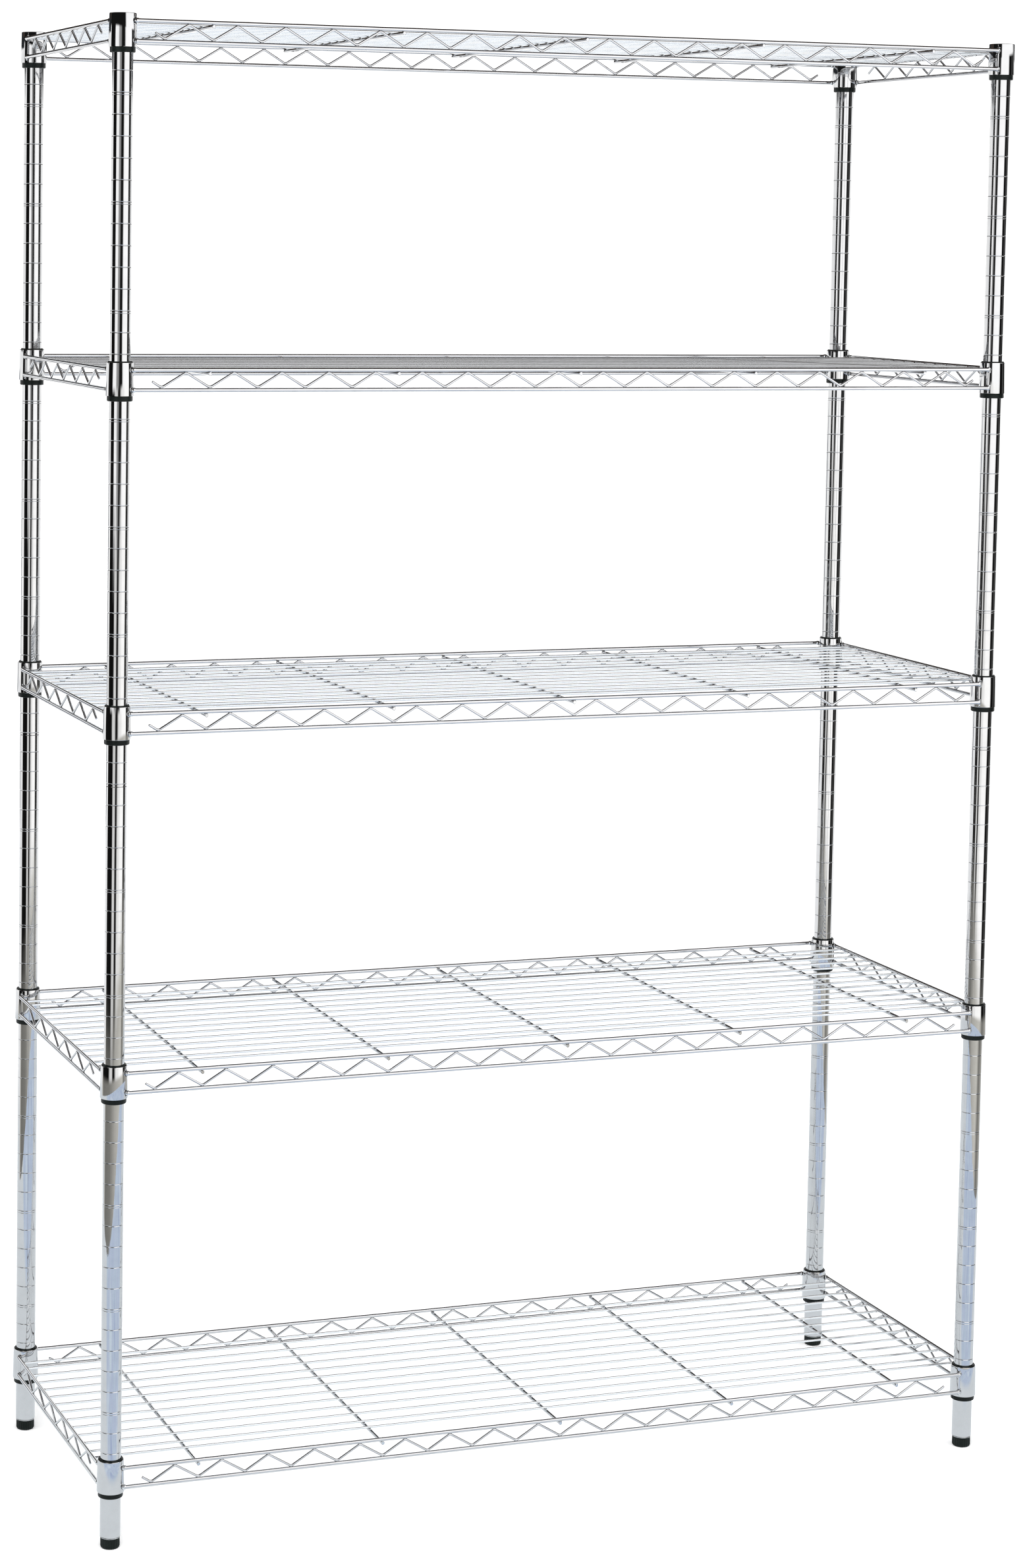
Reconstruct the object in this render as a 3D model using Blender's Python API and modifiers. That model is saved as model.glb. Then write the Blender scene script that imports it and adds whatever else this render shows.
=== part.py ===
"""Wire shelving rack: four chromed two-piece posts on screw feet carry five clip-on wire shelves.

Metres, +Z up, +X to the right, -Y towards the front. The origin is on the floor, in the middle.
"""
import math

import bmesh
import bpy

# Posts
SPAN_X = 1.165
SPAN_Y = 0.420
POST_R = 0.0125
POST_BORE_R = 0.0113
POST_BOTTOM_Z = 0.0143
SEAM_Z = 0.9282
POST_TOP_Z = 1.8340
GAP = 0.0003

# Shelf levels, each the lower edge of its corner collars, and the height of a collar
SHELF_Z = (0.0698, 0.5524, 0.9842, 1.3906, 1.7970)
COLLAR_H = 0.0395
COLLAR_R_LOW = 0.0168
COLLAR_R_TOP = 0.0159
COLLAR_WALL = 0.0013

# Split sleeves that wedge the collars on the posts
SLEEVE_DROP = 0.0047
SLEEVE_CLEAR = 0.0003

# Shelf wires, heights above the lower edge of the collars
RAIL_R = 0.0024
RAIL_OUT = 0.0130
RAIL_TOP_Z = 0.0308
RAIL_LOW_Z = 0.0071
RAIL_END = 0.0050
CROSS_R = 0.00225
DECK_R = 0.0014
BRACE_R = 0.0015
BRACE_PITCH = 0.0595
WELD_SINK = 0.0004
CROSS_EVERY = 4
LONG_BENDS = 9
SHORT_BENDS = 2
DECK_PITCH = 0.0282
DECK_INNER_PAIRS = 6
DECK_EDGE_Y = 0.1765

# Feet
PAD_R = 0.0118
PAD_H = 0.0125
STUD_R = 0.0040
STUD_TOP_Z = 0.0450
INSERT_R = 0.0122
INSERT_TOP_Z = 0.0310
INSERT_FLANGE_Z = (0.0128, 0.0140)

# Connectors inside the post seams, and caps on the post tops
CONNECTOR_HALF = 0.0250
CAP_R = 0.0122
CAP_PLUG_DEPTH = 0.0140
CAP_THICK = 0.0022

SIDES = 16
CHROME = (0.80, 0.81, 0.83, 1.0)
STEEL = (0.62, 0.63, 0.65, 1.0)
BLACK = (0.012, 0.014, 0.015, 1.0)

CORNERS = {
    "front_left": (-SPAN_X / 2, -SPAN_Y / 2),
    "front_right": (SPAN_X / 2, -SPAN_Y / 2),
    "rear_left": (-SPAN_X / 2, SPAN_Y / 2),
    "rear_right": (SPAN_X / 2, SPAN_Y / 2),
}


def clear_scene():
    for obj in list(bpy.data.objects):
        bpy.data.objects.remove(obj, do_unlink=True)


def new_collection(name):
    collection = bpy.data.collections.new(name)
    bpy.context.scene.collection.children.link(collection)
    return collection


def place(collection, name, data, location=(0, 0, 0), parent=None):
    obj = bpy.data.objects.new(name, data)
    collection.objects.link(obj)
    obj.location = location
    obj.parent = parent
    return obj


def paint(obj, colour, metallic, roughness):
    material = bpy.data.materials.new(obj.name)
    material.use_nodes = True
    shader = material.node_tree.nodes["Principled BSDF"]
    shader.inputs["Base Color"].default_value = colour
    shader.inputs["Metallic"].default_value = metallic
    shader.inputs["Roughness"].default_value = roughness
    obj.data.materials.clear()
    obj.data.materials.append(material)


def chrome(obj):
    paint(obj, CHROME, 1.0, 0.08)


def steel(obj):
    paint(obj, STEEL, 1.0, 0.30)


def black_plastic(obj):
    paint(obj, BLACK, 0.0, 0.45)


def turned(collection, name, profile, location, closed, parent=None):
    """A profile of (radius, height) points, spun round Z. It runs down its outer side."""
    mesh = bpy.data.meshes.new(name)
    count = len(profile)
    edges = [(i, i + 1) for i in range(count - 1)]
    if closed:
        edges.append((count - 1, 0))
    mesh.from_pydata([(r, 0.0, z) for r, z in profile], edges, [])
    obj = place(collection, name, mesh, location, parent)
    screw = obj.modifiers.new("Spin", "SCREW")
    screw.axis = "Z"
    screw.angle = math.tau
    screw.steps = SIDES
    screw.render_steps = SIDES
    screw.use_merge_vertices = True
    screw.merge_threshold = 0.00005
    screw.use_smooth_shade = True
    return obj


def cone_mesh(name, places, z_low, z_top, r_low, r_top):
    """One upright cone frustum at each place, in one mesh."""
    bm = bmesh.new()
    for x, y in places:
        made = bmesh.ops.create_cone(
            bm, cap_ends=True, segments=SIDES, radius1=r_low, radius2=r_top, depth=z_top - z_low
        )
        bmesh.ops.translate(bm, verts=made["verts"], vec=(x, y, (z_low + z_top) / 2))
    mesh = bpy.data.meshes.new(name)
    bm.to_mesh(mesh)
    bm.free()
    return mesh


def wires(collection, name, lines, radius, rounding):
    """Bars along lines of points, with an edge uppermost, as one mesh with welded end caps."""
    curve = bpy.data.curves.new(name, "CURVE")
    curve.dimensions = "3D"
    curve.bevel_depth = radius
    curve.bevel_resolution = rounding
    curve.render_resolution_u = 0
    curve.use_fill_caps = True
    for line in lines:
        spline = curve.splines.new("POLY")
        spline.points.add(len(line) - 1)
        for point, spot in zip(spline.points, line):
            point.co = (*spot, 1.0)
            point.tilt = math.radians(30 * rounding)
    source = place(collection, name + "_curve", curve)
    bpy.context.view_layer.update()
    shaped = source.evaluated_get(bpy.context.evaluated_depsgraph_get())
    mesh = bpy.data.meshes.new_from_object(shaped)
    bm = bmesh.new()
    bm.from_mesh(mesh)
    bmesh.ops.remove_doubles(bm, verts=bm.verts, dist=0.00001)
    bm.to_mesh(mesh)
    bm.free()
    obj = place(collection, name, mesh)
    obj.matrix_world = source.matrix_world
    bpy.data.objects.remove(source, do_unlink=True)
    return obj


def rail_lines():
    """The eight perimeter rails, four at the top of the truss and four below."""
    lines = []
    end_x = SPAN_X / 2 - RAIL_END
    end_y = SPAN_Y / 2 - RAIL_END
    out_x = SPAN_X / 2 + RAIL_OUT
    out_y = SPAN_Y / 2 + RAIL_OUT
    for z in (RAIL_LOW_Z, RAIL_TOP_Z):
        for side in (-1, 1):
            lines.append([(-end_x, side * out_y, z), (end_x, side * out_y, z)])
            lines.append([(side * out_x, -end_y, z), (side * out_x, end_y, z)])
    return lines


def brace_height(step, top, welded):
    """Height of a bend. The welded bends sink into the rail and the others stay just clear."""
    offset = -WELD_SINK if welded else GAP
    if top:
        return RAIL_TOP_Z - RAIL_R - BRACE_R - offset
    return RAIL_LOW_Z + RAIL_R + BRACE_R + offset


def long_brace():
    """Along a front or rear truss: it starts and ends with a short hook off a lower bend."""
    half = BRACE_PITCH / 2
    last = 2 * LONG_BENDS
    points = []
    for step in range(-last, last + 1):
        top = step % 2 == 1
        welded = not top and (step // 2) % CROSS_EVERY == 0 or abs(step) == last
        points.append((step * half, brace_height(step, top, welded)))
    low = points[0][1]
    hook = (points[-1][0] + 0.0116, low + 0.0064)
    return [(-hook[0], hook[1])] + points + [hook]


def short_brace():
    """Along an end truss: it starts and ends with a short hook down from an upper bend."""
    half = BRACE_PITCH / 2
    last = 2 * SHORT_BENDS + 1
    points = []
    for step in range(-last, last + 1):
        top = step % 2 == 1
        welded = abs(step) in (last - 1, 0)
        points.append((step * half, brace_height(step, top, welded)))
    hook = (points[-1][0] + 0.0170, points[-1][1] - 0.0090)
    return [(-hook[0], hook[1])] + points + [hook]


def brace_lines():
    out_x = SPAN_X / 2 + RAIL_OUT
    out_y = SPAN_Y / 2 + RAIL_OUT
    lines = []
    for side in (-1, 1):
        lines.append([(u, side * out_y, z) for u, z in long_brace()])
        lines.append([(side * out_x, u, z) for u, z in short_brace()])
    return lines


def deck_lines():
    """Fourteen long wires; the outermost on each side sits closer to its neighbour."""
    rows = [DECK_PITCH * (i + 0.5) for i in range(DECK_INNER_PAIRS)] + [DECK_EDGE_Y]
    end = SPAN_X / 2 + RAIL_OUT
    z = RAIL_TOP_Z - RAIL_R + WELD_SINK + GAP + DECK_R
    return [[(-end, side * y, z), (end, side * y, z)] for y in rows for side in (-1, 1)]


def cross_lines():
    """Five bearers under the long wires, on the underside of the front and rear top rails."""
    end = SPAN_Y / 2 + RAIL_OUT + 0.0020
    z = RAIL_TOP_Z - RAIL_R + WELD_SINK - CROSS_R
    places = [BRACE_PITCH * CROSS_EVERY * i for i in range(-2, 3)]
    return [[(x, -end, z), (x, end, z)] for x in places]


def boolean(obj, operation, name):
    modifier = obj.modifiers.new(name, "BOOLEAN")
    modifier.operation = operation
    modifier.solver = "EXACT"
    return modifier


def shelf_mesh(cutters):
    """One welded shelf: solid collars joined with every wire, then bored to a taper."""
    work = new_collection("shelf_work")
    places = list(CORNERS.values())
    blank = cone_mesh("collars", places, 0.0, COLLAR_H, COLLAR_R_LOW, COLLAR_R_TOP)
    shelf = place(cutters, "shelf_blank", blank)
    wires(work, "rails", rail_lines(), RAIL_R, 1)
    wires(work, "braces", brace_lines(), BRACE_R, 0)
    wires(work, "bearers", cross_lines(), CROSS_R, 1)
    wires(work, "deck", deck_lines(), DECK_R, 0)
    slope = (COLLAR_R_LOW - COLLAR_R_TOP) / COLLAR_H
    over = 0.002
    bore = cone_mesh(
        "bores",
        places,
        -over,
        COLLAR_H + over,
        COLLAR_R_LOW - COLLAR_WALL + slope * over,
        COLLAR_R_TOP - COLLAR_WALL - slope * over,
    )
    cutter = place(cutters, "collar_bores", bore)
    cutter.hide_render = True
    cutter.display_type = "WIRE"
    join = boolean(shelf, "UNION", "Weld")
    join.operand_type = "COLLECTION"
    join.collection = work
    cut = boolean(shelf, "DIFFERENCE", "Bore")
    cut.object = cutter
    bpy.context.view_layer.update()
    shaped = shelf.evaluated_get(bpy.context.evaluated_depsgraph_get())
    mesh = bpy.data.meshes.new_from_object(shaped)
    for obj in [shelf] + list(work.objects):
        bpy.data.objects.remove(obj, do_unlink=True)
    bpy.data.collections.remove(work)
    return mesh


def build_shelves(parts, cutters, root):
    mesh = shelf_mesh(cutters)
    for index, level in enumerate(SHELF_Z):
        shelf = place(parts, f"shelf_{index + 1}", mesh.copy(), (0, 0, level), root)
        shelf.data.set_sharp_from_angle(angle=math.radians(40))
        chrome(shelf)


def build_sleeves(parts, root):
    """A tapered ring in each collar. It shows below the collar and as a thin rim on top."""
    slope = (COLLAR_R_LOW - COLLAR_R_TOP) / COLLAR_H
    inner = POST_R + SLEEVE_CLEAR
    low = COLLAR_R_LOW - COLLAR_WALL - GAP + slope * SLEEVE_DROP
    top = COLLAR_R_TOP - COLLAR_WALL - GAP
    profile = [(top, COLLAR_H), (low, -SLEEVE_DROP), (inner, -SLEEVE_DROP), (inner, COLLAR_H)]
    for index, level in enumerate(SHELF_Z):
        for corner, (x, y) in CORNERS.items():
            name = f"sleeve_{index + 1}_{corner}"
            black_plastic(turned(parts, name, profile, (x, y, level), True, root))


def tube_profile(low, top):
    return [(POST_R, top), (POST_R, low), (POST_BORE_R, low), (POST_BORE_R, top)]


def build_posts(parts, root):
    lower = tube_profile(POST_BOTTOM_Z, SEAM_Z - GAP / 2)
    upper = tube_profile(SEAM_Z + GAP / 2, POST_TOP_Z)
    plug_r = POST_BORE_R - GAP
    stud = [(0, CONNECTOR_HALF), (plug_r, CONNECTOR_HALF)]
    stud += [(plug_r, -CONNECTOR_HALF), (0, -CONNECTOR_HALF)]
    flange = POST_TOP_Z + GAP
    cap = [(0, flange + CAP_THICK), (CAP_R - 0.0012, flange + CAP_THICK)]
    cap += [(CAP_R, flange + CAP_THICK - 0.0009), (CAP_R, flange), (plug_r, flange)]
    cap += [(plug_r, flange - CAP_PLUG_DEPTH), (0, flange - CAP_PLUG_DEPTH)]
    for corner, (x, y) in CORNERS.items():
        chrome(turned(parts, f"post_lower_{corner}", lower, (x, y, 0), True, root))
        chrome(turned(parts, f"post_upper_{corner}", upper, (x, y, 0), True, root))
        steel(turned(parts, f"post_connector_{corner}", stud, (x, y, SEAM_Z), False, root))
        black_plastic(turned(parts, f"post_cap_{corner}", cap, (x, y, 0), False, root))


def build_feet(parts, root):
    """A flanged insert in the post, a stud that screws in it, and the pad on the stud."""
    low, high = INSERT_FLANGE_Z
    plug_r = POST_BORE_R - GAP
    hole = STUD_R + GAP
    insert = [(hole, INSERT_TOP_Z), (plug_r, INSERT_TOP_Z), (plug_r, high), (INSERT_R, high)]
    insert += [(INSERT_R, low), (hole, low)]
    stud = [(0, STUD_TOP_Z), (STUD_R, STUD_TOP_Z), (STUD_R, PAD_H + GAP), (0, PAD_H + GAP)]
    pad = [(0, PAD_H), (PAD_R - 0.0006, PAD_H), (PAD_R, PAD_H - 0.0008)]
    pad += [(PAD_R, 0.0016), (PAD_R - 0.0014, 0.0), (0, 0.0)]
    for corner, (x, y) in CORNERS.items():
        steel(turned(parts, f"foot_insert_{corner}", insert, (x, y, 0), True, root))
        thread = turned(parts, f"foot_stud_{corner}", stud, (x, y, 0), False, root)
        steel(thread)
        black_plastic(turned(parts, f"foot_pad_{corner}", pad, (0, 0, 0), False, thread))


def main():
    clear_scene()
    parts = new_collection("wire_shelving_rack")
    cutters = new_collection("cutters")
    root = place(parts, "rack", None)
    build_posts(parts, root)
    build_feet(parts, root)
    build_sleeves(parts, root)
    build_shelves(parts, cutters, root)


main()
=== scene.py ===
"""Looks for the wire shelving rack: chromed posts and wire shelves, black plastic wedges, caps and feet.

Everything is in metres in the CAD's frame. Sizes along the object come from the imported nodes' boxes.
"""
import math
import random

import bmesh
import bpy
from mathutils import Matrix, Vector


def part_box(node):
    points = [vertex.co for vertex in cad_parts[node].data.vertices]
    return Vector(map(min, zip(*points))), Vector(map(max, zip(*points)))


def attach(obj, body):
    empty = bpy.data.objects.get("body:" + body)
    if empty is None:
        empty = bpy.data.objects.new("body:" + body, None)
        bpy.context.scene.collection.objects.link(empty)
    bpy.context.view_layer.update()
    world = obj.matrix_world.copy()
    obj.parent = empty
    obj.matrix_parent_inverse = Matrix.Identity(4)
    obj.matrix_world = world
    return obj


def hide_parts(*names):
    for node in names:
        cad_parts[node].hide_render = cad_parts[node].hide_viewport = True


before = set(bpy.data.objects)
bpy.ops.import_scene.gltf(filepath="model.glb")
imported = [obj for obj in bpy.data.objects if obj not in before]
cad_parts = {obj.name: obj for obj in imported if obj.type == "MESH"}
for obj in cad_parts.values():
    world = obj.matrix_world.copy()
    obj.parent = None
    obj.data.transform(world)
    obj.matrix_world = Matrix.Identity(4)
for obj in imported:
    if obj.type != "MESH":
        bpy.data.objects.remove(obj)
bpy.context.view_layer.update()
MM = 0.001
TAU = math.tau
X_AXIS = Vector((1, 0, 0))
Y_AXIS = Vector((0, 1, 0))
UP = Vector((0, 0, 1))
CORNERS = ("front_left", "front_right", "rear_left", "rear_right")
LEVELS = (1, 2, 3, 4, 5)


# ---------------------------------------------------------------- mesh tools


class Shape:
    """Closed surfaces gathered into one mesh."""

    def __init__(self):
        self.points = []
        self.faces = []

    def add(self, points, faces):
        base = len(self.points)
        self.points.extend(points)
        self.faces.extend([base + i for i in face] for face in faces)

    def build(self, name, material, sharp=32):
        mesh = bpy.data.meshes.new(name)
        mesh.from_pydata([tuple(p) for p in self.points], [], self.faces)
        bm = bmesh.new()
        bm.from_mesh(mesh)
        bmesh.ops.recalc_face_normals(bm, faces=bm.faces)
        bm.to_mesh(mesh)
        bm.free()
        mesh.shade_smooth()
        mesh.set_sharp_from_angle(angle=math.radians(sharp))
        mesh.materials.append(material)
        obj = bpy.data.objects.new(name, mesh)
        bpy.context.scene.collection.objects.link(obj)
        return obj


def lathe(shape, profile, centre, count, closed, waves=None, start=0.0, sweep=TAU):
    """Spins (radius, height) points round an upright line. An open profile starts and ends on that line.

    waves(angle, index) scales the radius. A sweep below a full turn gets flat end faces.
    """
    cx, cy = centre
    full = sweep > TAU - 1e-6
    spokes = count if full else count + 1
    points, faces, rings = [], [], []
    for i, (r, z) in enumerate(profile):
        if r < 1e-9:
            rings.append([len(points)] * spokes)
            points.append((cx, cy, z))
            continue
        ring = []
        for k in range(spokes):
            a = start + sweep * k / count
            rr = r * waves(a, i) if waves else r
            ring.append(len(points))
            points.append((cx + rr * math.cos(a), cy + rr * math.sin(a), z))
        rings.append(ring)
    pairs = [(i, i + 1) for i in range(len(profile) - 1)]
    if closed:
        pairs.append((len(profile) - 1, 0))
    for i, j in pairs:
        for k in range(count):
            n = (k + 1) % spokes if full else k + 1
            face = [rings[i][k], rings[i][n], rings[j][n], rings[j][k]]
            kept = []
            for v in face:
                if v not in kept:
                    kept.append(v)
            if len(kept) > 2:
                faces.append(kept)
    if not full:
        faces.append([ring[0] for ring in rings])
        faces.append([ring[-1] for ring in reversed(rings)])
    shape.add(points, faces)


def tube(shape, path, radius, sides, normal, ends=0.3):
    """A round wire along a flat path, with its cut ends bevelled by that share of the radius."""
    path = [Vector(p) for p in path]
    normal = Vector(normal).normalized()
    tangents = []
    for i in range(len(path)):
        a = path[max(i - 1, 0)]
        b = path[min(i + 1, len(path) - 1)]
        before = (path[i] - a).normalized() if i else Vector()
        after = (b - path[i]).normalized() if i < len(path) - 1 else Vector()
        tangents.append((before + after).normalized())
    stations = [(path[0], tangents[0], radius * (1 - ends))]
    stations.append((path[0] + tangents[0] * radius * ends, tangents[0], radius))
    stations += [(p, t, radius) for p, t in zip(path[1:-1], tangents[1:-1])]
    stations.append((path[-1] - tangents[-1] * radius * ends, tangents[-1], radius))
    stations.append((path[-1], tangents[-1], radius * (1 - ends)))
    points, faces = [], []
    for p, t, r in stations:
        side = t.cross(normal)
        for k in range(sides):
            a = TAU * (k + 0.5) / sides
            points.append(p + r * (math.cos(a) * normal + math.sin(a) * side))
    for s in range(len(stations) - 1):
        for k in range(sides):
            n = (k + 1) % sides
            faces.append([s * sides + k, s * sides + n, (s + 1) * sides + n, (s + 1) * sides + k])
    faces.append(list(range(sides)))
    faces.append(list(range(len(points) - 1, len(points) - 1 - sides, -1)))
    shape.add(points, faces)


def rounded(corners, radius, steps):
    """A path with its inner corners turned into arcs."""
    corners = [Vector(c) for c in corners]
    path = [corners[0]]
    for a, b, c in zip(corners, corners[1:], corners[2:]):
        u = (a - b).normalized()
        v = (c - b).normalized()
        turn = math.pi - u.angle(v)
        if turn < 1e-4:
            path.append(b)
            continue
        cut = radius * math.tan(turn / 2)
        middle = b + (u + v).normalized() * radius / math.cos(turn / 2)
        first = b + u * cut - middle
        last = b + v * cut - middle
        for k in range(steps + 1):
            t = k / steps
            w = (math.sin((1 - t) * turn) * first + math.sin(t * turn) * last) / math.sin(turn)
            path.append(middle + w)
    path.append(corners[-1])
    return path


def blob(shape, centre, axes, sizes, rings, count, lump, rng):
    """A lumpy ellipsoid: three unit axes and the half size along each. Its poles are on the third."""
    centre = Vector(centre)
    points, faces = [], []
    a, b, c = (Vector(v).normalized() for v in axes)

    def spot(polar, around):
        swell = 1 + rng.uniform(-lump, lump)
        s = math.sin(polar)
        v = a * sizes[0] * s * math.cos(around) + b * sizes[1] * s * math.sin(around)
        return centre + (v + c * sizes[2] * math.cos(polar)) * swell

    points.append(spot(0, 0))
    for i in range(1, rings):
        for k in range(count):
            points.append(spot(math.pi * i / rings, TAU * k / count))
    points.append(spot(math.pi, 0))
    last = len(points) - 1
    for k in range(count):
        n = (k + 1) % count
        faces.append([0, 1 + k, 1 + n])
        base = 1 + (rings - 2) * count
        faces.append([last, base + n, base + k])
        for i in range(rings - 2):
            low = 1 + i * count
            faces.append([low + k, low + count + k, low + count + n, low + n])
    shape.add(points, faces)


# ---------------------------------------------------------------- materials


class Nodes:
    """Short calls for building a node tree."""

    def __init__(self, tree):
        self.tree = tree
        tree.nodes.clear()

    def new(self, kind, inputs=None, **settings):
        node = self.tree.nodes.new(kind)
        for key, value in settings.items():
            setattr(node, key, value)
        for key, value in (inputs or {}).items():
            if isinstance(value, bpy.types.NodeSocket):
                self.tree.links.new(value, node.inputs[key])
            else:
                node.inputs[key].default_value = value
        return node

    def place(self):
        """The point's place in the object's own coordinates."""
        return self.new("ShaderNodeTexCoord").outputs["Object"]

    def math(self, operation, *values):
        node = self.new("ShaderNodeMath", dict(enumerate(values)), operation=operation)
        return node.outputs[0]

    def ramp(self, factor, stops):
        node = self.new("ShaderNodeValToRGB", {"Fac": factor})
        band = node.color_ramp
        while len(band.elements) > 1:
            band.elements.remove(band.elements[-1])
        for i, (at, colour) in enumerate(stops):
            stop = band.elements[0] if i == 0 else band.elements.new(at)
            stop.position = at
            stop.color = (*colour, 1)
        return node.outputs["Color"]

    def span(self, value, low, high, to_low, to_high, smooth=False):
        node = self.new(
            "ShaderNodeMapRange",
            {"Value": value, "From Min": low, "From Max": high, "To Min": to_low, "To Max": to_high},
        )
        node.interpolation_type = "SMOOTHSTEP" if smooth else "LINEAR"
        return node.outputs["Result"]

    def noise(self, where, scale, detail, roughness):
        node = self.new(
            "ShaderNodeTexNoise",
            {"Vector": where, "Scale": scale, "Detail": detail, "Roughness": roughness},
        )
        return node.outputs["Fac"]

    def mix(self, factor, a, b):
        node = self.new("ShaderNodeMix", data_type="RGBA")
        for key, value in ((0, factor), (6, a), (7, b)):
            if isinstance(value, bpy.types.NodeSocket):
                self.tree.links.new(value, node.inputs[key])
            else:
                node.inputs[key].default_value = value
        return node.outputs[2]


def material(name):
    made = bpy.data.materials.new(name)
    made.use_nodes = True
    return made, Nodes(made.node_tree)


def finish_surface(n, inputs, height, strength, distance):
    bump = n.new("ShaderNodeBump", {"Height": height, "Strength": strength, "Distance": distance})
    shader = n.new("ShaderNodeBsdfPrincipled", dict(inputs, Normal=bump.outputs["Normal"]))
    n.new("ShaderNodeOutputMaterial", {"Surface": shader.outputs[0]})


# The near-black colour of the shade painted into crevices.
CREVICE_SHADE_COLOUR = (0.02, 0.02, 0.022, 1)


def paint_crevice_shade(n, colour, reach, local, floor=0.04):
    """Paints shade into a plating colour where surfaces nearly meet, from an ambient occlusion node."""
    shade = n.new("ShaderNodeAmbientOcclusion", {"Distance": reach}, samples=8, only_local=local)
    keep = n.span(shade.outputs["AO"], 0.25, 0.85, floor, 1.0)
    return n.mix(keep, CREVICE_SHADE_COLOUR, colour)


def chrome_material(name, tint, dull=0.0, reach=0.0012, local=True, metal=1.0):
    """Bright plating: a faint cloudiness, a fine grain and a soft ripple, with shade painted into grooves
    and joints out to reach.

    metal below 1 is a thinner, hazier flash of chrome.
    """
    made, n = material(name)
    where = n.place()
    cloud = n.noise(where, 55.0, 4.0, 0.6)
    fine = n.noise(where, 900.0, 2.0, 0.6)
    ripple = n.noise(where, 32.0, 1.0, 0.4)
    low = tuple(c * 0.94 for c in tint)
    colour = n.ramp(cloud, [(0.30, low), (0.62, tint)])
    # Painted shade in the grooves and where parts meet.
    if reach:
        colour = paint_crevice_shade(n, colour, reach, local)
    rough = n.span(cloud, 0.3, 0.75, 0.012 + dull, 0.04 + dull)
    height = n.math("ADD", n.math("MULTIPLY", ripple, 0.75), n.math("MULTIPLY", fine, 0.02))
    finish_surface(
        n,
        {"Base Color": colour, "Metallic": metal, "Roughness": rough},
        height,
        strength=0.35,
        distance=0.0004,
    )
    return made


def weld_material():
    """Plated weld beads: lumpy, with shade painted into the hollows of their bumps and where they meet
    other parts.
    """
    made, n = material("chromed_weld")
    where = n.place()
    lumps = n.noise(where, 620.0, 4.0, 0.65)
    pits = n.noise(where, 1500.0, 2.0, 0.5)
    # Painted shade: the same noise makes the bump, so the colour darkens in its hollows.
    colour = n.ramp(lumps, [(0.32, (0.30, 0.30, 0.31)), (0.50, (0.86, 0.87, 0.88))])
    colour = paint_crevice_shade(n, colour, 0.0018, False, 0.0)
    rough = n.span(pits, 0.35, 0.7, 0.06, 0.22)
    finish_surface(
        n,
        {"Base Color": colour, "Metallic": 1.0, "Roughness": rough},
        lumps,
        strength=0.45,
        distance=0.0004,
    )
    return made


def zinc_material():
    """Duller plating with a fine grain, for the inserts, studs and connectors."""
    made, n = material("zinc_plated_steel")
    where = n.place()
    grain = n.noise(where, 420.0, 4.0, 0.6)
    cloud = n.noise(where, 60.0, 3.0, 0.5)
    colour = n.ramp(cloud, [(0.3, (0.48, 0.49, 0.50)), (0.7, (0.60, 0.60, 0.59))])
    rough = n.span(grain, 0.3, 0.7, 0.20, 0.38)
    finish_surface(
        n,
        {"Base Color": colour, "Metallic": 1.0, "Roughness": rough},
        grain,
        strength=0.2,
        distance=0.0002,
    )
    return made


def plastic_material(name, base, rough_low, rough_high, grain_scale):
    """Moulded black plastic with a fine spark-eroded grain and paler scuffs."""
    made, n = material(name)
    where = n.place()
    grain = n.noise(where, grain_scale, 3.0, 0.6)
    cloud = n.noise(where, 90.0, 4.0, 0.6)
    worn = tuple(c * 1.7 + 0.001 for c in base)
    colour = n.ramp(cloud, [(0.42, base), (0.80, worn)])
    rough = n.span(cloud, 0.3, 0.75, rough_low, rough_high)
    finish_surface(
        n,
        {"Base Color": colour, "Roughness": rough, "IOR": 1.45, "Specular IOR Level": 0.13},
        grain,
        strength=0.25,
        distance=0.0002,
    )
    return made


# ---------------------------------------------------------------- sizes from the CAD


def middle(node):
    low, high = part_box(node)
    return (low + high) / 2


POSTS = {c: middle(f"post_lower_{c}").to_2d() for c in CORNERS}
post_low, post_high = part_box("post_lower_front_left")
POST_R = (post_high.x - post_low.x) / 2
POST_BOTTOM = post_low.z
SEAM_LOW = post_high.z
SEAM_HIGH, POST_TOP = (v.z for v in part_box("post_upper_front_left"))
SHELF_Z = {n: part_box(f"shelf_{n}")[0].z for n in LEVELS}
SPAN_X = POSTS["front_right"].x
SPAN_Y = POSTS["rear_right"].y
COLLAR_R_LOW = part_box("shelf_1")[1].x - SPAN_X
COLLAR_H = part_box("shelf_1")[1].z - SHELF_Z[1]
SLEEVE_DROP = SHELF_Z[1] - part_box("sleeve_1_front_left")[0].z

TUBE_WALL = 1.2 * MM
SLEEVE_HANG = 1.6 * MM
SLEEVE_PROUD = 1.3 * MM
TOP_SLEEVE_PROUD = -0.1 * MM
SLEEVE_SLIT = 0.9 * MM
SLEEVE_FIT = 0.15 * MM
FOOT_INSET = 0.15 * MM
COLLAR_FIT = 0.12 * MM
COLLAR_WALL = 1.3 * MM
COLLAR_R_TOP = COLLAR_R_LOW - 0.9 * MM

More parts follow.
